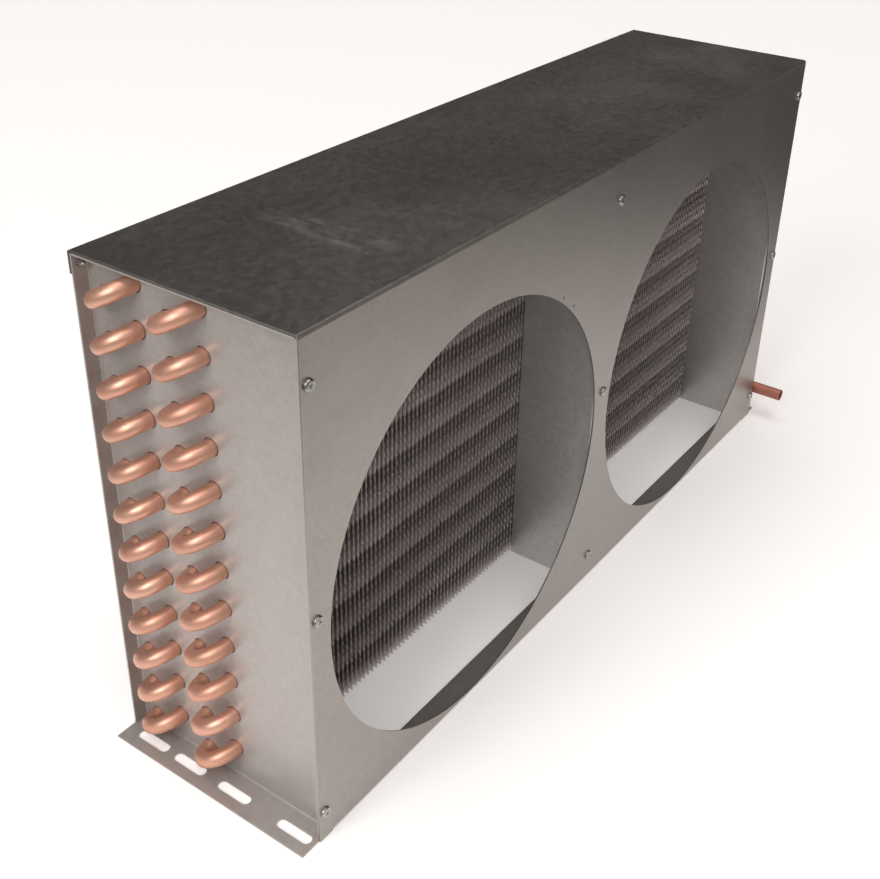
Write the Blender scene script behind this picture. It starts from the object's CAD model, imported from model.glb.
import math

import bmesh
import bpy
from mathutils import Matrix, Vector


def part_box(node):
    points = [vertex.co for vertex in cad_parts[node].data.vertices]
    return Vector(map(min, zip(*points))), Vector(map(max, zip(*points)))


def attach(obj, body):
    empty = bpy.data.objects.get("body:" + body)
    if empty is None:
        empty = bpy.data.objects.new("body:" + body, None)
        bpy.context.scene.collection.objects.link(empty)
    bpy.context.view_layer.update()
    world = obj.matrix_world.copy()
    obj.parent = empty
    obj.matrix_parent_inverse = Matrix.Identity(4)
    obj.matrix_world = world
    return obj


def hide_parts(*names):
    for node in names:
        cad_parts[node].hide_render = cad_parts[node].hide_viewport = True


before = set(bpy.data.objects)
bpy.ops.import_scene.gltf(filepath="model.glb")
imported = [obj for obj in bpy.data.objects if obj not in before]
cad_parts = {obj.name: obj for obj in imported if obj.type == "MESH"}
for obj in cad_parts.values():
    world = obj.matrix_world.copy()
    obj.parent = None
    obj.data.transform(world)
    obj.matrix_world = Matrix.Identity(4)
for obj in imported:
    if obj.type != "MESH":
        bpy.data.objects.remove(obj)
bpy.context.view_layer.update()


# Hairpins: drawn copper tubes, each bent in two at the left end and pushed through the end plates and
# all the fins, then widened from inside to grip them. The right ends are belled for the return bends.
MM = 0.001
HAIRPINS_PER_COLUMN = 12
TUBE_RADIUS = 4.76 * MM
BELL_RADIUS = 5.16 * MM
COPPER_METAL = 0.7
COPPER_ROUGH = (0.38, 0.47)
COPPER_BRIGHT = (0.76, 0.43, 0.315, 1)
COPPER_WORN = (0.66, 0.345, 0.245, 1)
COPPER_BROWN = (0.42, 0.20, 0.13, 1)
COPPER_HEATED = (0.42, 0.13, 0.10, 1)
WEAR_SHOWS = (0.35, 0.68)
BROWN_DEPTH = 0.35
BRIGHT_DEPTH = 0.35
HEAT_ZONE = (281 * MM, 291 * MM)
HEAT_RAGGED = 12 * MM
HEAT_DEPTH = 0.75
HEAT_ROUGH = 0.12
DRAWN_ALONG = (0.05, 1, 1)
SMEAR_SHOWS = (0.50, 0.74)
BREAKS_SHOW = (0.30, 0.65)
BREAKS_FINER = 6.0
SCRATCH_TURN = (0.5, 0.35, 0.9)
SCRATCH_DRAWN = (1, 1, 9)
SCRATCH_WIDTH = 0.006
SCRATCHES_SHOW = (0.56, 0.66)


def place(tree, kind, inputs=None, **settings):
    """Adds a node. An input takes a value, or the socket that feeds it."""
    node = tree.nodes.new(kind)
    for name, value in settings.items():
        setattr(node, name, value)
    for key, value in (inputs or {}).items():
        if isinstance(value, bpy.types.NodeSocket):
            tree.links.new(value, node.inputs[key])
        else:
            node.inputs[key].default_value = value
    return node


def calculate(tree, operation, *values, clamp=False):
    """A sum, product or other operation on numbers."""
    node = place(tree, "ShaderNodeMath", dict(enumerate(values)), operation=operation, use_clamp=clamp)
    return node.outputs[0]


def stretch(tree, value, low, high, to_low=0.0, to_high=1.0):
    """A number taken from one range to another and held inside it."""
    inputs = {"Value": value, "From Min": low, "From Max": high, "To Min": to_low, "To Max": to_high}
    return place(tree, "ShaderNodeMapRange", inputs).outputs["Result"]


def tint(tree, amount, under, over, depth=1.0):
    """One colour laid over another, at full amount as strongly as the depth says."""
    strength = calculate(tree, "MULTIPLY", amount, depth)
    return place(tree, "ShaderNodeMix", {0: strength, 6: under, 7: over}, data_type="RGBA").outputs[2]


def cloud(tree, vector, scale, detail=2.0, distortion=0.0):
    """Soft noise from 0 to 1."""
    inputs = {"Vector": vector, "Scale": scale, "Detail": detail, "Distortion": distortion}
    return place(tree, "ShaderNodeTexNoise", inputs).outputs["Fac"]


def bump(tree, height, strength, distance, **under):
    """A surface that rises and falls with a pattern."""
    inputs = {"Height": height, "Strength": strength, "Distance": distance, **under}
    return place(tree, "ShaderNodeBump", inputs).outputs[0]


def new_finish(name, metal=1.0):
    """An empty material: its tree, its metal shader and the coordinates its patterns use."""
    material = bpy.data.materials.new(name)
    material.use_nodes = True
    tree = material.node_tree
    shader = tree.nodes["Principled BSDF"]
    shader.inputs["Metallic"].default_value = metal
    return material, tree, shader, place(tree, "ShaderNodeTexCoord").outputs["Object"]


def coat(finish, *nodes):
    """Gives CAD nodes a finish."""
    for node in nodes:
        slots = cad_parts[node].data.materials
        slots.clear()
        slots.append(finish)


def node_group(name, kind, inputs, outputs):
    """An empty node group: its tree, what comes in, and the sockets that take what goes out."""
    tree = bpy.data.node_groups.new(name, kind)
    for direction, sockets in (("INPUT", inputs), ("OUTPUT", outputs)):
        for label, carries in sockets.items():
            tree.interface.new_socket(label, in_out=direction, socket_type="NodeSocket" + carries)
    return tree, tree.nodes.new("NodeGroupInput").outputs, tree.nodes.new("NodeGroupOutput").inputs


def use(tree, group, inputs):
    """What a shader group gives in a material."""
    return place(tree, "ShaderNodeGroup", inputs, node_tree=group).outputs


marks, given, result = node_group(
    "handling_marks", "ShaderNodeTree",
    {"Vector": "Vector", "Smear Scale": "Float", "Scratch Scale": "Float"},
    {"Smear": "Float", "Scratch": "Float"},
)
broad = cloud(marks, given["Vector"], scale=given["Smear Scale"], detail=5.0, distortion=0.9)
finer = calculate(marks, "MULTIPLY", given["Smear Scale"], BREAKS_FINER)
broken = cloud(marks, given["Vector"], scale=finer, detail=3.0)
smear = stretch(marks, broad, *SMEAR_SHOWS)
smear = calculate(marks, "MULTIPLY", smear, stretch(marks, broken, *BREAKS_SHOW))
marks.links.new(smear, result["Smear"])
drawn = {"Vector": given["Vector"], "Rotation": SCRATCH_TURN, "Scale": SCRATCH_DRAWN}
drawn = place(marks, "ShaderNodeMapping", drawn).outputs[0]
line = cloud(marks, drawn, scale=given["Scratch Scale"], detail=1.0, distortion=0.4)
off_line = calculate(marks, "ABSOLUTE", calculate(marks, "SUBTRACT", line, 0.5))
thin = stretch(marks, off_line, 0.0, SCRATCH_WIDTH, 1.0, 0.0)
sparse = cloud(marks, given["Vector"], scale=given["Smear Scale"], detail=1.0)
sparse = stretch(marks, sparse, *SCRATCHES_SHOW)
marks.links.new(calculate(marks, "MULTIPLY", thin, sparse), result["Scratch"])

copper, tree, shader, coords = new_finish("drawn_copper", COPPER_METAL)
rubbed = use(tree, marks, {"Vector": coords, "Smear Scale": 34.0, "Scratch Scale": 90.0})
patchy = stretch(tree, cloud(tree, coords, scale=42.0, detail=4.0, distortion=0.6), *WEAR_SHOWS)
tone = tint(tree, patchy, COPPER_BRIGHT, COPPER_WORN)
tone = tint(tree, rubbed["Smear"], tone, COPPER_BROWN, depth=BROWN_DEPTH)
along = place(tree, "ShaderNodeSeparateXYZ", {0: coords}).outputs["X"]
ragged = calculate(tree, "MULTIPLY_ADD", cloud(tree, coords, scale=60.0, detail=3.0), HEAT_RAGGED, along)
heat = stretch(tree, ragged, *HEAT_ZONE)
tone = tint(tree, heat, tone, COPPER_HEATED, depth=HEAT_DEPTH)
tone = tint(tree, rubbed["Scratch"], tone, COPPER_BRIGHT, depth=BRIGHT_DEPTH)
tree.links.new(tone, shader.inputs["Base Color"])
rough = stretch(tree, patchy, 0, 1, *COPPER_ROUGH)
rough = calculate(tree, "MULTIPLY_ADD", heat, HEAT_ROUGH, rough)
tree.links.new(rough, shader.inputs["Roughness"])
draw_lines = place(tree, "ShaderNodeMapping", {"Vector": coords, "Scale": DRAWN_ALONG}).outputs[0]
skin = bump(tree, cloud(tree, draw_lines, scale=900.0), strength=0.12, distance=0.2 * MM)
tree.links.new(skin, shader.inputs["Normal"])

tube_places = []
for column in ("front", "rear"):
    for number in range(1, HAIRPINS_PER_COLUMN + 1):
        hairpin = f"{column}_hairpin_{number:02d}"
        coat(copper, hairpin)
        low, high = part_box(hairpin)
        tube_places.append((low.y + BELL_RADIUS, high.z - BELL_RADIUS))
        tube_places.append((high.y - BELL_RADIUS, low.z + BELL_RADIUS))


# Fins: thin aluminium plates with rippled edges, stacked on the tubes. The metal drawn out of each hole
# makes a collar round the tube, which touches the next fin and sets the gap between them.
FIN_BANKS = 4
FIN_PITCH = 4.1 * MM
FIN_THICKNESS = 0.15 * MM
FIN_PLAY = 0.12 * MM
FIN_SEED = 11
EDGE_BAND = 1.3 * MM
RIPPLE_HEIGHT = 0.4 * MM
RIPPLE_LENGTH = 6.35 * MM
RIPPLE_POINTS = 97
HOLE_SIDES = 8
COLLAR_SIDES = 12
COLLAR_FIT = 0.04 * MM
COLLAR_WALL = 0.3 * MM
LAST_COLLAR = 2.2 * MM
JOIN_GAP = 0.01 * MM
ALUMINIUM_METAL = 0.6
ALUMINIUM_ROUGH = (0.18, 0.30)
ALUMINIUM_CLEAN = (0.80, 0.745, 0.735, 1)
ALUMINIUM_DULL = (0.70, 0.64, 0.63, 1)
ALUMINIUM_STAIN = (0.20, 0.16, 0.145, 1)
PATCHES_SHOW = (0.3, 0.7)
OIL_DEPTH = 0.35
STAIN_DEPTH = 0.85
STAIN_SPREAD = 0.2
STAIN_PHASE = 10.2
STAIN_ONSET = (0.0, 0.10)
STAIN_FADE = (0.35, 0.95)
EDGE_WIPED = (0.6 * MM, 1.4 * MM)
EDGE_STAIN = 0.5


def shape(tree, kind, inputs=None):
    """What a geometry node gives."""
    return place(tree, "GeometryNode" + kind, inputs).outputs[0]


def join(tree, *members):
    """Several shapes as one."""
    node = place(tree, "GeometryNodeJoinGeometry")
    for member in members:
        tree.links.new(member, node.inputs[0])
    return node.outputs[0]


def vector(tree, x=0.0, y=0.0, z=0.0):
    """Three numbers as one vector."""
    return place(tree, "ShaderNodeCombineXYZ", {"X": x, "Y": y, "Z": z}).outputs[0]


def chance(tree, low, high, seed):
    """A random number for each point."""
    inputs = {2: low, 3: high, "Seed": seed}
    return place(tree, "FunctionNodeRandomValue", inputs, data_type="FLOAT").outputs[1]


def grow(tree, points, name, values):
    """Makes the tree's shape on loose points, as a plain mesh piece whose faces point outwards."""
    seedling = bpy.data.meshes.new(name + "_points")
    seedling.from_pydata(points, [], [])
    holder = bpy.data.objects.new(name + "_points", seedling)
    bpy.context.scene.collection.objects.link(holder)
    modifier = holder.modifiers.new(name, "NODES")
    modifier.node_group = tree
    for socket in tree.interface.items_tree:
        if socket.in_out == "INPUT" and socket.name in values:
            modifier[socket.identifier] = values[socket.name]
    settled = holder.evaluated_get(bpy.context.evaluated_depsgraph_get())
    mesh = bpy.data.meshes.new_from_object(settled)
    holder.modifiers.remove(modifier)
    bpy.data.objects.remove(holder)
    work = bmesh.new()
    work.from_mesh(mesh)
    bmesh.ops.recalc_face_normals(work, faces=work.faces)
    work.to_mesh(mesh)
    work.free()
    mesh.name = name
    piece = bpy.data.objects.new(name, mesh)
    bpy.context.scene.collection.objects.link(piece)
    return piece


fin_tree, given, result = node_group("rippled_fin_bank", "GeometryNodeTree", {
    "Geometry": "Geometry", "Fin Count": "Int", "Fin Pitch": "Float", "Fin Thickness": "Float",
    "Start": "Float", "Front": "Float", "Depth": "Float", "Bottom": "Float", "Height": "Float",
    "Edge Band": "Float", "Ripple Height": "Float", "Ripple Length": "Float", "Hole Radius": "Float",
    "Collar Wall": "Float", "Collar Overrun": "Float", "Play": "Float", "Seed": "Int", "Finish": "Material",
}, {"Geometry": "Geometry"})
spot = place(fin_tree, "ShaderNodeSeparateXYZ", {0: shape(fin_tree, "InputPosition")}).outputs
turned = vector(fin_tree, spot["Z"], spot["Y"])
holes = shape(fin_tree, "SetPosition", {0: given["Geometry"], "Position": turned})
middle_height = calculate(fin_tree, "MULTIPLY_ADD", given["Height"], 0.5, given["Bottom"])
middle_depth = calculate(fin_tree, "MULTIPLY_ADD", given["Depth"], 0.5, given["Front"])
inner_depth = calculate(fin_tree, "MULTIPLY_ADD", given["Edge Band"], -2.0, given["Depth"])


def fin_strip(depth, middle):
    """A flat strip of fin, from its bottom to its top, with points where the ripple turns."""
    sizes = {"Size X": given["Height"], "Size Y": depth, "Vertices X": RIPPLE_POINTS, "Vertices Y": 2}
    centre = vector(fin_tree, middle_height, middle)
    return shape(fin_tree, "Transform", {0: shape(fin_tree, "MeshGrid", sizes), "Translation": centre})


rim = calculate(fin_tree, "COMPARE", shape(fin_tree, "InputMeshEdgeNeighbors"), 1.0, 0.1)
outline = shape(fin_tree, "MeshToCurve", {0: fin_strip(inner_depth, middle_depth), "Selection": rim})
hole = shape(fin_tree, "CurvePrimitiveCircle", {"Resolution": HOLE_SIDES, "Radius": given["Hole Radius"]})
punched = shape(fin_tree, "InstanceOnPoints", {"Points": holes, "Instance": hole})
punched = shape(fin_tree, "RealizeInstances", {0: punched})
field = shape(fin_tree, "FillCurve", {0: join(fin_tree, outline, punched)})
half_band = calculate(fin_tree, "MULTIPLY", given["Edge Band"], 0.5)
front_edge = fin_strip(given["Edge Band"], calculate(fin_tree, "ADD", given["Front"], half_band))
rear = calculate(fin_tree, "ADD", given["Front"], given["Depth"])
rear_edge = fin_strip(given["Edge Band"], calculate(fin_tree, "SUBTRACT", rear, half_band))
blank = join(fin_tree, field, front_edge, rear_edge)
blank = shape(fin_tree, "MergeByDistance", {0: blank, "Distance": JOIN_GAP})
off_middle = calculate(fin_tree, "ABSOLUTE", calculate(fin_tree, "SUBTRACT", spot["Y"], middle_depth))
half_depth = calculate(fin_tree, "MULTIPLY", given["Depth"], 0.5)
edge_start = calculate(fin_tree, "SUBTRACT", half_depth, half_band)
at_edge = calculate(fin_tree, "GREATER_THAN", off_middle, edge_start)
climb = calculate(fin_tree, "SUBTRACT", spot["X"], given["Bottom"])
turns = calculate(fin_tree, "DIVIDE", climb, given["Ripple Length"])
wave = calculate(fin_tree, "COSINE", calculate(fin_tree, "MULTIPLY", turns, math.tau))
crimp = vector(fin_tree, z=calculate(fin_tree, "MULTIPLY", wave, given["Ripple Height"]))
blank = shape(fin_tree, "SetPosition", {0: blank, "Selection": at_edge, "Offset": crimp})
thickness = vector(fin_tree, z=given["Fin Thickness"])
raised = {0: blank, "Offset": thickness, "Offset Scale": 1.0, "Individual": False}
raised = shape(fin_tree, "ExtrudeMesh", raised)
under = shape(fin_tree, "FlipFaces", {0: blank})
fin = shape(fin_tree, "MergeByDistance", {0: join(fin_tree, raised, under), "Distance": JOIN_GAP})
step = vector(fin_tree, z=given["Fin Pitch"])
stack = shape(fin_tree, "MeshLine", {"Count": given["Fin Count"], "Offset": step})
least = calculate(fin_tree, "MULTIPLY", given["Play"], -1.0)
slack = vector(fin_tree, z=chance(fin_tree, least, given["Play"], given["Seed"]))
stack = shape(fin_tree, "SetPosition", {0: stack, "Offset": slack})
stacked = shape(fin_tree, "InstanceOnPoints", {"Points": stack, "Instance": fin})
gaps = calculate(fin_tree, "SUBTRACT", given["Fin Count"], 1.0)
length = calculate(fin_tree, "MULTIPLY_ADD", gaps, given["Fin Pitch"], given["Collar Overrun"])
ring_radius = calculate(fin_tree, "MULTIPLY_ADD", given["Collar Wall"], -0.5, given["Hole Radius"])
ring = shape(fin_tree, "CurvePrimitiveCircle", {"Resolution": COLLAR_SIDES, "Radius": ring_radius})
wall = shape(fin_tree, "CurvePrimitiveQuadrilateral", {"Width": given["Collar Wall"], "Height": length})
collar = shape(fin_tree, "CurveToMesh", {0: ring, "Profile Curve": wall})
lift = vector(fin_tree, z=calculate(fin_tree, "MULTIPLY", length, 0.5))
collar = shape(fin_tree, "Transform", {0: collar, "Translation": lift})
collars = shape(fin_tree, "InstanceOnPoints", {"Points": holes, "Instance": collar})
bank = shape(fin_tree, "RealizeInstances", {0: join(fin_tree, stacked, collars)})
upright = vector(fin_tree, calculate(fin_tree, "ADD", spot["Z"], given["Start"]), spot["Y"], spot["X"])
bank = shape(fin_tree, "SetPosition", {0: bank, "Position": upright})
bank = shape(fin_tree, "SetMaterial", {0: bank, "Material": given["Finish"]})
fin_tree.links.new(bank, result["Geometry"])

aluminium, tree, shader, coords = new_finish("fin_aluminium", ALUMINIUM_METAL)
oiled = use(tree, marks, {"Vector": coords, "Smear Scale": 26.0, "Scratch Scale": 60.0})
patchy = stretch(tree, cloud(tree, coords, scale=75.0, detail=3.0), *PATCHES_SHOW)
tone = tint(tree, patchy, ALUMINIUM_CLEAN, ALUMINIUM_DULL)
tone = tint(tree, oiled["Smear"], tone, ALUMINIUM_DULL, depth=OIL_DEPTH)
where = place(tree, "ShaderNodeSeparateXYZ", {0: coords}).outputs
first_row, first_tube = tube_places[0]
second_row, lower_tube = tube_places[1]
next_tube = tube_places[2][1]
behind = calculate(tree, "GREATER_THAN", where["Y"], second_row + (second_row - first_row) / 2)
height = calculate(tree, "MULTIPLY_ADD", behind, first_tube - lower_tube, where["Z"])
below = calculate(tree, "SUBTRACT", first_tube, height)
below = calculate(tree, "DIVIDE", below, first_tube - next_tube)
uneven = cloud(tree, coords, scale=120.0)
uneven = calculate(tree, "MULTIPLY_ADD", uneven, STAIN_SPREAD, -STAIN_SPREAD / 2)
run_down = calculate(tree, "ADD", calculate(tree, "ADD", below, uneven), STAIN_PHASE)
run_down = calculate(tree, "FRACT", run_down)
stain = stretch(tree, run_down, *STAIN_ONSET)
stain = calculate(tree, "MULTIPLY", stain, stretch(tree, run_down, *STAIN_FADE, 1.0, 0.0))
fin_low, fin_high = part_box("fin_bank_1")
from_front = calculate(tree, "SUBTRACT", where["Y"], fin_low.y)
from_rear = calculate(tree, "SUBTRACT", fin_high.y, where["Y"])
inward = calculate(tree, "MINIMUM", from_front, from_rear)
stain = calculate(tree, "MULTIPLY", stain, stretch(tree, inward, *EDGE_WIPED, EDGE_STAIN, 1.0))
tone = tint(tree, stain, tone, ALUMINIUM_STAIN, depth=STAIN_DEPTH)
tree.links.new(tone, shader.inputs["Base Color"])
tree.links.new(stretch(tree, patchy, 0, 1, *ALUMINIUM_ROUGH), shader.inputs["Roughness"])

for number in range(1, FIN_BANKS + 1):
    node = f"fin_bank_{number}"
    low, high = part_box(node)
    count = round((high.x - low.x - FIN_THICKNESS) / FIN_PITCH) + 1
    overrun = LAST_COLLAR if number == FIN_BANKS else FIN_PITCH - JOIN_GAP
    piece = grow(fin_tree, [(0, y, z) for y, z in tube_places], f"fins_{number}", {
        "Fin Count": count, "Fin Pitch": FIN_PITCH, "Fin Thickness": FIN_THICKNESS, "Start": low.x,
        "Front": low.y, "Depth": high.y - low.y, "Bottom": low.z, "Height": high.z - low.z,
        "Edge Band": EDGE_BAND, "Ripple Height": RIPPLE_HEIGHT, "Ripple Length": RIPPLE_LENGTH,
        "Hole Radius": TUBE_RADIUS + COLLAR_FIT + COLLAR_WALL, "Collar Wall": COLLAR_WALL,
        "Collar Overrun": overrun, "Play": FIN_PLAY, "Seed": FIN_SEED + number, "Finish": aluminium,
    })
    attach(piece, "root")
    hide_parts(node)


# End plates: galvanised steel tube sheets that carry the tubes, punched and then folded outwards at the
# front, the rear, the top and the slotted foot. The foot is screwed to the base.
ZINC_LIGHT = (0.455, 0.42, 0.397, 1)
ZINC_GREY = (0.395, 0.366, 0.344, 1)
INNER_LIGHT = (0.68, 0.655, 0.635, 1)
INNER_GREY = (0.58, 0.56, 0.54, 1)
ZINC_SMEAR = (0.27, 0.245, 0.21, 1)
STEEL_CUT = (0.58, 0.56, 0.54, 1)
DUST = (0.46, 0.43, 0.40, 1)
CELL_SHARE = 0.28
SHADES_SHOW = (0.3, 0.7)
SCRATCH_DEPTH = 0.2
SMEAR_ROUGH = 0.05
CUT_RADIUS = 0.5 * MM
CUT_DEPTH = 0.6
CUT_SHOWS = (0.985, 0.80)
DUST_HEIGHT = (1.2 * MM, 3.5 * MM)

spangle, given, result = node_group(
    "zinc_spangle", "ShaderNodeTree",
    {"Vector": "Vector", "Cell Scale": "Float"},
    {"Shade": "Float", "Grain": "Float"},
)
crystals = {"Vector": given["Vector"], "Scale": given["Cell Scale"]}
crystals = place(spangle, "ShaderNodeTexVoronoi", crystals).outputs["Color"]
cell = place(spangle, "ShaderNodeSeparateColor", {0: crystals}).outputs[0]
broad = cloud(spangle, given["Vector"], scale=9.0, detail=5.0, distortion=0.4)
shade = calculate(spangle, "MULTIPLY", broad, 1 - CELL_SHARE)
shade = calculate(spangle, "MULTIPLY_ADD", cell, CELL_SHARE, shade)
spangle.links.new(shade, result["Shade"])
fine = cloud(spangle, given["Vector"], scale=1400.0)
grain = calculate(spangle, "MULTIPLY", calculate(spangle, "ADD", cell, fine), 0.5)
spangle.links.new(grain, result["Grain"])

cut_edge, given, result = node_group("cut_edge", "ShaderNodeTree", {"Radius": "Float"}, {"Edge": "Float"})
eased = place(cut_edge, "ShaderNodeBevel", {"Radius": given["Radius"]}, samples=6).outputs[0]
flat = place(cut_edge, "ShaderNodeNewGeometry").outputs["Normal"]
agreement = place(cut_edge, "ShaderNodeVectorMath", {0: eased, 1: flat}, operation="DOT_PRODUCT")
cut_edge.links.new(stretch(cut_edge, agreement.outputs["Value"], *CUT_SHOWS), result["Edge"])


def galvanised(name, light, grey, metal, smear_depth, rough, cells, dust_depth=0.0):
    """Zinc coated sheet: faint crystals, handling marks, bare steel along the cut edges, dust low down."""
    material, tree, shader, coords = new_finish(name, metal)
    zinc = use(tree, spangle, {"Vector": coords, "Cell Scale": cells})
    handled = use(tree, marks, {"Vector": coords, "Smear Scale": 9.0, "Scratch Scale": 16.0})
    edge = use(tree, cut_edge, {"Radius": CUT_RADIUS})["Edge"]
    tone = tint(tree, stretch(tree, zinc["Shade"], *SHADES_SHOW), grey, light)
    tone = tint(tree, handled["Smear"], tone, ZINC_SMEAR, depth=smear_depth)
    tone = tint(tree, handled["Scratch"], tone, STEEL_CUT, depth=SCRATCH_DEPTH)
    tone = tint(tree, edge, tone, STEEL_CUT, depth=CUT_DEPTH)
    if dust_depth:
        height = place(tree, "ShaderNodeSeparateXYZ", {0: coords}).outputs["Z"]
        dust = stretch(tree, height, *DUST_HEIGHT, dust_depth, 0.0)
        tone = tint(tree, dust, tone, DUST)
        tree.links.new(stretch(tree, dust, 0, 1, metal, 0.0), shader.inputs["Metallic"])
    tree.links.new(tone, shader.inputs["Base Color"])
    rubbed = stretch(tree, zinc["Shade"], *SHADES_SHOW, *rough)
    rubbed = calculate(tree, "MULTIPLY_ADD", handled["Smear"], SMEAR_ROUGH, rubbed)
    tree.links.new(rubbed, shader.inputs["Roughness"])
    sway = bump(tree, cloud(tree, coords, scale=7.0, detail=1.0), strength=0.5, distance=2 * MM)
    skin = bump(tree, zinc["Grain"], strength=0.10, distance=0.1 * MM, Normal=sway)
    tree.links.new(skin, shader.inputs["Normal"])
    return material


plate_zinc = galvanised("plate_zinc", ZINC_LIGHT, ZINC_GREY, metal=0.42, smear_depth=0.10,
                        rough=(0.30, 0.35), cells=330.0)
coat(plate_zinc, "left_end_plate")
inner_zinc = galvanised("inner_zinc", INNER_LIGHT, INNER_GREY, metal=0.62, smear_depth=0.15,
                        rough=(0.30, 0.36), cells=300.0)
coat(inner_zinc, "right_end_plate")


# Return bends, outlet and inlet: short copper tubes brazed into the belled ends of the hairpins. They
# join the rows into one circuit, whose two ends are the outlet to the front and the inlet at the side.
BRAZE_WIRE = 0.55 * MM
BRAZE_RING = TUBE_RADIUS + 0.4 * BRAZE_WIRE
BRAZE_SEED = 5
RING_SIDES = 20
WIRE_SIDES = 6
BRAZE_ALLOY = (0.66, 0.50, 0.30, 1)
BRAZE_DULL = (0.36, 0.25, 0.17, 1)
BRAZE_PATCHES = (0.35, 0.65)
BRAZE_ROUGH = (0.28, 0.5)

bends = [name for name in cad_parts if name.startswith("return_bend_")]
coat(copper, "outlet_tube", "inlet_tube", *bends)

braze, tree, shader, coords = new_finish("braze_alloy")
patchy = stretch(tree, cloud(tree, coords, scale=300.0, detail=3.0), *BRAZE_PATCHES)
tree.links.new(tint(tree, patchy, BRAZE_ALLOY, BRAZE_DULL), shader.inputs["Base Color"])
tree.links.new(stretch(tree, patchy, 0, 1, *BRAZE_ROUGH), shader.inputs["Roughness"])
runs = bump(tree, cloud(tree, coords, scale=500.0, detail=3.0), strength=0.35, distance=0.3 * MM)
tree.links.new(runs, shader.inputs["Normal"])

braze_tree, given, result = node_group("braze_rings", "GeometryNodeTree", {
    "Geometry": "Geometry", "Ring Radius": "Float", "Wire Radius": "Float", "Seed": "Int",
    "Finish": "Material",
}, {"Geometry": "Geometry"})
path = shape(braze_tree, "CurvePrimitiveCircle", {"Resolution": RING_SIDES, "Radius": given["Ring Radius"]})
wire = shape(braze_tree, "CurvePrimitiveCircle", {"Resolution": WIRE_SIDES, "Radius": given["Wire Radius"]})
ring = shape(braze_tree, "CurveToMesh", {0: path, "Profile Curve": wire})
spin = chance(braze_tree, 0.0, math.tau, given["Seed"])
facing = vector(braze_tree, spin, math.pi / 2)
facing = place(braze_tree, "FunctionNodeEulerToRotation", {0: facing}).outputs[0]
rings = {"Points": given["Geometry"], "Instance": ring, "Rotation": facing}
rings = shape(braze_tree, "InstanceOnPoints", rings)
rings = shape(braze_tree, "RealizeInstances", {0: rings})
rings = shape(braze_tree, "SetShadeSmooth", {0: rings})
rings = shape(braze_tree, "SetMaterial", {0: rings, "Material": given["Finish"]})
braze_tree.links.new(rings, result["Geometry"])

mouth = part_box("front_hairpin_01")[1].x
piece = grow(braze_tree, [(mouth, y, z) for y, z in tube_places], "braze_fillets", {
    "Ring Radius": BRAZE_RING, "Wire Radius": BRAZE_WIRE, "Seed": BRAZE_SEED, "Finish": braze,
})
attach(piece, "root")


# Centre partition: a galvanised plate that keeps the two fans' air apart. Its front flange is screwed
# to the cover's front panel.
PARTITION_LIGHT = (0.70, 0.70, 0.68, 1)
PARTITION_GREY = (0.58, 0.58, 0.567, 1)

partition_zinc = galvanised("partition_zinc", PARTITION_LIGHT, PARTITION_GREY, metal=0.62, smear_depth=0.2,
                            rough=(0.32, 0.38), cells=300.0)
coat(partition_zinc, "centre_partition")


# Cover: one galvanised sheet with two fan openings, folded into the front panel, the top, the rear lip
# and the bottom flange. It is screwed to the end plates and the partition.
COVER_LIGHT = (0.38, 0.352, 0.325, 1)
COVER_GREY = (0.33, 0.305, 0.282, 1)
RUB_MIDDLE = Vector((-0.195, 0.0, 0.312))
RUB_HALF = Vector((0.013, 0.044, 0.004))
RUB_FADE = 0.5
RUB_PALE = (0.80, 0.78, 0.75, 1)
RUB_DEPTH = 0.55
RUB_DRAWN = (1, 0.3, 1)
STREAKS_SHOW = (0.40, 0.62)
NICKS = ((-0.0625, 0.244), (-0.0496, 0.234))
NICK_SIZE = (0.5 * MM, 1.2 * MM)
NICK_DARK = (0.05, 0.045, 0.04, 1)

cover_zinc = galvanised("cover_zinc", COVER_LIGHT, COVER_GREY, metal=0.96, smear_depth=0.16,
                        rough=(0.34, 0.40), cells=320.0, dust_depth=0.3)
tree = cover_zinc.node_tree
shader = tree.nodes["Principled BSDF"]
coords = tree.nodes["Texture Coordinate"].outputs["Object"]
tone = shader.inputs["Base Color"].links[0].from_socket
where = place(tree, "ShaderNodeSeparateXYZ", {0: coords}).outputs
streaks = place(tree, "ShaderNodeMapping", {"Vector": coords, "Scale": RUB_DRAWN}).outputs[0]
rubbed = stretch(tree, cloud(tree, streaks, scale=150.0, detail=4.0), *STREAKS_SHOW)
for axis, middle, half in zip("XYZ", RUB_MIDDLE, RUB_HALF):
    off = calculate(tree, "ABSOLUTE", calculate(tree, "SUBTRACT", where[axis], middle))
    rubbed = calculate(tree, "MULTIPLY", rubbed, stretch(tree, off, half, half * RUB_FADE))
tone = tint(tree, rubbed, tone, RUB_PALE, depth=RUB_DEPTH)
front_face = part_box("cover")[0].y
for x, z in NICKS:
    spread = place(tree, "ShaderNodeVectorMath", {0: coords, 1: (x, front_face, z)}, operation="DISTANCE")
    nick = stretch(tree, spread.outputs["Value"], *NICK_SIZE, 1.0, 0.0)
    tone = tint(tree, nick, tone, NICK_DARK)
tree.links.new(tone, shader.inputs["Base Color"])
coat(cover_zinc, "cover")


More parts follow.
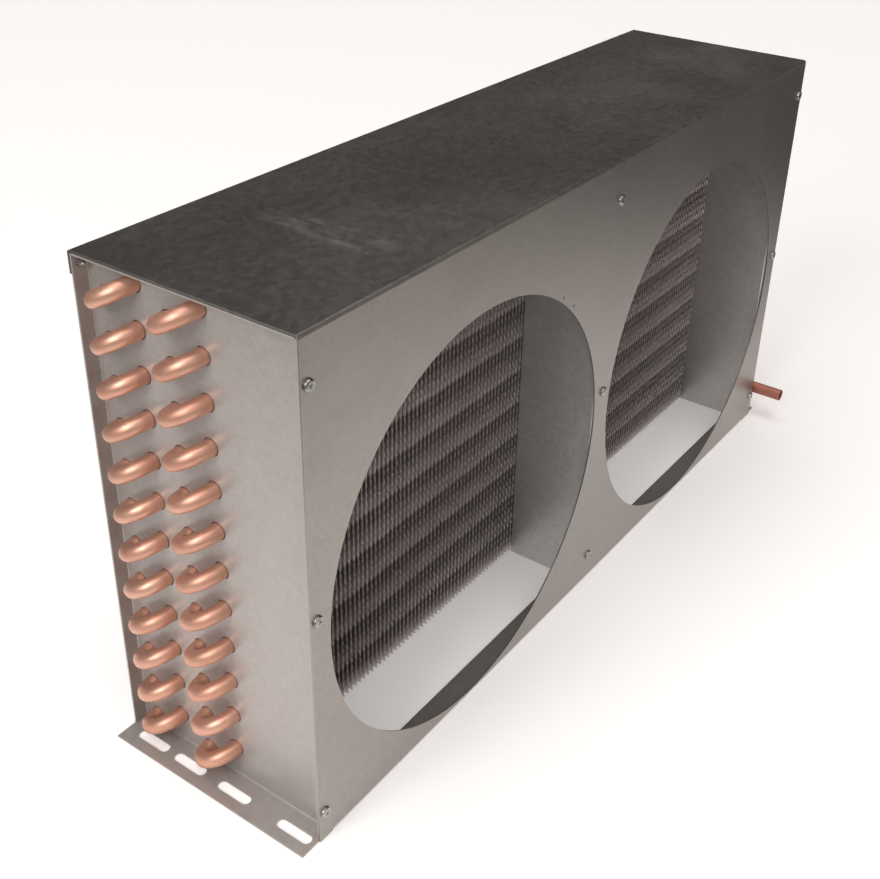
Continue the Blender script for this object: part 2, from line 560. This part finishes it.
# Screws: zinc plated self-drilling steel screws with a pan head and a cross recess. Nine hold the front
# panel and two hold the rear lip.
HEAD_RADIUS = 3.4 * MM
HEAD_HEIGHT = 1.8 * MM
HEAD_PROFILE = ((0, 1), (0.62, 1), (0.86, 0.86), (0.97, 0.55), (1, 0.2), (0.98, 0), (0, 0))
HEAD_SIDES = 24
RECESS_REACH = 1.75 * MM
RECESS_WIDTH = 0.75 * MM
RECESS_DEPTH = 1.2 * MM
RECESS_TAPER = 0.45
RECESS_CLEAR = 1.2
CORNERS = ((1, 1), (1, -1), (-1, -1), (-1, 1))
SHANK_RADIUS = 1.55 * MM
SHANK_START = -0.05 * MM
SHANK_SIDES = 12
TIP_LENGTH = 2.2 * MM
TIP_SHOULDER = 1.8 * MM
TIP_NARROW = 0.75
THREAD_RADIUS = 1.95 * MM
THREAD_PITCH = 1.3 * MM
THREAD_START = 0.4 * MM
THREAD_SHORT = 2.6 * MM
THREAD_HALF = Vector((0, THREAD_PITCH * 0.3, 0))
THREAD_ROOT = SHANK_RADIUS * 0.9
SIDES_PER_TURN = 12
FLANGE_SCREW = 8 * MM
SCREW_SEED = 3
ZINC_PLATE = (0.46, 0.445, 0.43, 1)
ZINC_PLATE_DULL = (0.33, 0.32, 0.31, 1)
PLATE_ROUGH = (0.2, 0.34)
WORN_RADIUS = 0.3 * MM
WORN_DEPTH = 0.7

screw_low, screw_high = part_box("front_screws")
shank_length = screw_high.y - screw_low.y - HEAD_HEIGHT

plated, tree, shader, coords = new_finish("zinc_plate")
patchy = stretch(tree, cloud(tree, coords, scale=420.0, detail=3.0), *PATCHES_SHOW)
worn = use(tree, cut_edge, {"Radius": WORN_RADIUS})["Edge"]
tone = tint(tree, patchy, ZINC_PLATE, ZINC_PLATE_DULL)
tone = tint(tree, worn, tone, STEEL_CUT, depth=WORN_DEPTH)
tree.links.new(tone, shader.inputs["Base Color"])
tree.links.new(stretch(tree, patchy, 0, 1, *PLATE_ROUGH), shader.inputs["Roughness"])


def lathe(work, profile, sides):
    """A turned shape about the Y axis from (radius, y) points, the first and last on the axis."""
    rings = []
    for radius, y in profile:
        if radius == 0:
            rings.append([work.verts.new((0, y, 0))] * sides)
        else:
            angles = (math.tau * k / sides for k in range(sides))
            rings.append([work.verts.new((radius * math.cos(a), y, radius * math.sin(a))) for a in angles])
    for ring, after in zip(rings, rings[1:]):
        for k in range(sides):
            corners = (ring[k], ring[k - 1], after[k - 1], after[k])
            work.faces.new(list(dict.fromkeys(corners)))


def mesh_of(work, name):
    """A mesh from finished work, with its faces outwards."""
    bmesh.ops.recalc_face_normals(work, faces=work.faces)
    mesh = bpy.data.meshes.new(name)
    work.to_mesh(mesh)
    work.free()
    return mesh


head = bmesh.new()
lathe(head, [(HEAD_RADIUS * across, -HEAD_HEIGHT * out) for across, out in HEAD_PROFILE], HEAD_SIDES)
head_object = bpy.data.objects.new("screw_head", mesh_of(head, "screw_head"))
recess = bmesh.new()
for along_x in (True, False):
    ends = []
    for y, narrow in ((-HEAD_HEIGHT * RECESS_CLEAR, 1.0), (-HEAD_HEIGHT + RECESS_DEPTH, RECESS_TAPER)):
        reach = RECESS_REACH * narrow
        width = RECESS_WIDTH * narrow * 0.5
        wide, tall = (reach, width) if along_x else (width, reach)
        ends.append([recess.verts.new((x * wide, y, z * tall)) for x, z in CORNERS])
    recess.faces.new(ends[0])
    recess.faces.new(ends[1])
    for k in range(len(CORNERS)):
        recess.faces.new((ends[0][k], ends[0][k - 1], ends[1][k - 1], ends[1][k]))
recess_object = bpy.data.objects.new("screw_recess", mesh_of(recess, "screw_recess"))
for tool in (head_object, recess_object):
    bpy.context.scene.collection.objects.link(tool)
cut = head_object.modifiers.new("recess", "BOOLEAN")
cut.object = recess_object
cut.solver = "EXACT"
cut.use_self = True
settled = head_object.evaluated_get(bpy.context.evaluated_depsgraph_get())
screw = bmesh.new()
screw.from_mesh(bpy.data.meshes.new_from_object(settled))
bpy.data.objects.remove(head_object)
bpy.data.objects.remove(recess_object)
shank = [(0, SHANK_START), (SHANK_RADIUS, SHANK_START), (SHANK_RADIUS, shank_length - TIP_LENGTH),
         (SHANK_RADIUS * TIP_NARROW, shank_length - TIP_SHOULDER), (0, shank_length)]
lathe(screw, shank, SHANK_SIDES)
thread_turns = (shank_length - THREAD_SHORT) / THREAD_PITCH
sections = []
for k in range(int(thread_turns * SIDES_PER_TURN) + 1):
    angle = math.tau * k / SIDES_PER_TURN
    around = Vector((math.cos(angle), 0, math.sin(angle)))
    lift = Vector((0, THREAD_START + THREAD_PITCH * k / SIDES_PER_TURN, 0))
    root = around * THREAD_ROOT + lift
    crest = around * THREAD_RADIUS + lift
    sections.append([screw.verts.new(point) for point in (root - THREAD_HALF, crest, root + THREAD_HALF)])
for section, after in zip(sections, sections[1:]):
    for k in range(len(section)):
        screw.faces.new((section[k], section[k - 1], after[k - 1], after[k]))
screw.faces.new(sections[0])
screw.faces.new(sections[-1])
screw_object = bpy.data.objects.new("screw_pattern", mesh_of(screw, "screw_pattern"))
bpy.context.scene.collection.objects.link(screw_object)

screw_tree, given, result = node_group("sheet_screws", "GeometryNodeTree", {
    "Geometry": "Geometry", "Screw": "Object", "Facing": "Float", "Seed": "Int", "Finish": "Material",
}, {"Geometry": "Geometry"})
pattern = place(screw_tree, "GeometryNodeObjectInfo", {"Object": given["Screw"]}).outputs["Geometry"]
spin = vector(screw_tree, y=chance(screw_tree, 0.0, math.tau, given["Seed"]))
turned = place(screw_tree, "FunctionNodeEulerToRotation", {0: spin}).outputs[0]
aim = vector(screw_tree, z=given["Facing"])
aim = place(screw_tree, "FunctionNodeEulerToRotation", {0: aim}).outputs[0]
aimed = place(screw_tree, "FunctionNodeRotateRotation", {0: turned, 1: aim}).outputs[0]
driven = {"Points": given["Geometry"], "Instance": pattern, "Rotation": aimed}
driven = shape(screw_tree, "InstanceOnPoints", driven)
driven = shape(screw_tree, "RealizeInstances", {0: driven})
driven = shape(screw_tree, "SetMaterial", {0: driven, "Material": given["Finish"]})
screw_tree.links.new(driven, result["Geometry"])

for node, facing, middle in (("front_screws", 0.0, True), ("rear_screws", math.pi, False)):
    low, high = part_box(node)
    seat = low.y + HEAD_HEIGHT if middle else high.y - HEAD_HEIGHT
    columns = [low.x + HEAD_RADIUS, high.x - HEAD_RADIUS]
    heights = [low.z + HEAD_RADIUS]
    if middle:
        columns.insert(1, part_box("centre_partition")[0].x + FLANGE_SCREW)
        heights = [low.z + HEAD_RADIUS, (low.z + high.z) / 2, high.z - HEAD_RADIUS]
    seats = [(x, seat, z) for x in columns for z in heights]
    piece = grow(screw_tree, seats, node.replace("screws", "sheet_screws"), {
        "Screw": screw_object, "Facing": facing, "Seed": SCREW_SEED, "Finish": plated,
    })
    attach(piece, "root")
    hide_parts(node)
bpy.data.objects.remove(screw_object)


# Stage: a pale floor that shows white and keeps the shadow, a studio that is bright overhead and dark at
# the back, one large soft lamp at the upper left, and the camera where the photograph was taken from.
FLOOR_SPREAD = 30.0
FLOOR_WHITE = (0.94, 0.915, 0.905, 1)
FLOOR_GREY = (0.09, 0.085, 0.08, 1)
FLOOR_GLOW = 0.20
FAR_GLOW = 0.04
GLOW_TINT = (1, 0.985, 0.975, 1)
SHEET_EDGE = (0.34, 0.90)
STUDIO_LOW = (0.40, 0.385, 0.375, 1)
STUDIO_BACK = (0.035, 0.033, 0.030, 1)
STUDIO_FRONT = (0.58, 0.56, 0.55, 1)
STUDIO_TOP = (2.0, 1.95, 1.92, 1)
FRONT_LEFT = (-0.6, -0.8, 0)
SIDE_TURN = (-0.1, 0.6)
SKYLINE_TURN = (-0.7, -0.3)
SKYLINE_RISE = (0.03, 0.14)
CEILING_RISE = (0.78, 0.90)
LAMP_PLACE = Vector((-1.7, 0.05, 1.25))
LAMP_AIM = Vector((0, 0, 0.15))
LAMP_SIZE = 1.0
LAMP_WATTS = 18.5
CAMERA_PLACE = (-0.6302, -0.3797, 0.5514)
AZIMUTH = 0.9601
ELEVATION = 0.5108
ROLL = 0.0234
LENS = 50.15
SHIFT_X = -0.0075
SHIFT_Y = -0.0709

floor_mesh = bpy.data.meshes.new("floor")
floor_corners = [(x * FLOOR_SPREAD, y * FLOOR_SPREAD, 0) for x, y in ((-1, -1), (1, -1), (1, 1), (-1, 1))]
floor_mesh.from_pydata(floor_corners, [], [(0, 1, 2, 3)])
floor = bpy.data.objects.new("floor", floor_mesh)
bpy.context.scene.collection.objects.link(floor)
paper = bpy.data.materials.new("floor_paper")
paper.use_nodes = True
tree = paper.node_tree
tree.nodes.remove(tree.nodes["Principled BSDF"])
rays = place(tree, "ShaderNodeLightPath").outputs
seen = calculate(tree, "ADD", rays["Is Camera Ray"], rays["Is Glossy Ray"])
seen = calculate(tree, "ADD", seen, rays["Is Transmission Ray"], clamp=True)
spot = place(tree, "ShaderNodeTexCoord").outputs["Object"]
away = place(tree, "ShaderNodeVectorMath", {0: spot}, operation="LENGTH").outputs["Value"]
worn_off = calculate(tree, "MULTIPLY", stretch(tree, away, *SHEET_EDGE), rays["Is Glossy Ray"])
matt = place(tree, "ShaderNodeBsdfDiffuse", {"Color": tint(tree, worn_off, FLOOR_WHITE, FLOOR_GREY)})
strength = calculate(tree, "MULTIPLY", seen, stretch(tree, worn_off, 0, 1, FLOOR_GLOW, FAR_GLOW))
glow = place(tree, "ShaderNodeEmission", {"Color": GLOW_TINT, "Strength": strength})
surface = place(tree, "ShaderNodeAddShader", {0: matt.outputs[0], 1: glow.outputs[0]}).outputs[0]
tree.links.new(surface, tree.nodes["Material Output"].inputs["Surface"])
floor_mesh.materials.append(paper)

world = bpy.data.worlds.new("studio")
bpy.context.scene.world = world
world.use_nodes = True
tree = world.node_tree
direction = place(tree, "ShaderNodeTexCoord").outputs["Generated"]
rise = place(tree, "ShaderNodeSeparateXYZ", {0: direction}).outputs["Z"]
facing = place(tree, "ShaderNodeVectorMath", {0: direction, 1: FRONT_LEFT}, operation="DOT_PRODUCT")
facing = facing.outputs["Value"]
side = tint(tree, stretch(tree, facing, *SIDE_TURN), STUDIO_BACK, STUDIO_FRONT)
skyline = tint(tree, stretch(tree, facing, *SKYLINE_TURN), STUDIO_BACK, STUDIO_LOW)
wall = tint(tree, stretch(tree, rise, *SKYLINE_RISE), skyline, side)
wall = tint(tree, stretch(tree, rise, *CEILING_RISE), wall, STUDIO_TOP)
tree.links.new(wall, tree.nodes["Background"].inputs["Color"])

lamp_data = bpy.data.lights.new("soft_lamp", "AREA")
lamp_data.size = LAMP_SIZE
lamp_data.energy = LAMP_WATTS
lamp = bpy.data.objects.new("soft_lamp", lamp_data)
lamp.location = LAMP_PLACE
lamp.rotation_euler = (LAMP_AIM - LAMP_PLACE).to_track_quat("-Z", "Y").to_euler()
bpy.context.scene.collection.objects.link(lamp)

over_ground = Vector((math.sin(AZIMUTH), math.cos(AZIMUTH), 0))
ahead = over_ground * math.cos(ELEVATION) - Vector((0, 0, math.sin(ELEVATION)))
level = Vector((math.cos(AZIMUTH), -math.sin(AZIMUTH), 0))
above = level.cross(ahead)
right = level * math.cos(ROLL) + above * math.sin(ROLL)
up = above * math.cos(ROLL) - level * math.sin(ROLL)
camera_data = bpy.data.cameras.new("camera")
camera_data.lens = LENS
camera_data.shift_x = SHIFT_X
camera_data.shift_y = SHIFT_Y
camera = bpy.data.objects.new("camera", camera_data)
turn = Matrix((right, up, -ahead)).transposed().to_4x4()
camera.matrix_world = Matrix.Translation(CAMERA_PLACE) @ turn
bpy.context.scene.collection.objects.link(camera)
bpy.context.scene.camera = camera
bpy.context.scene.view_settings.view_transform = "Standard"
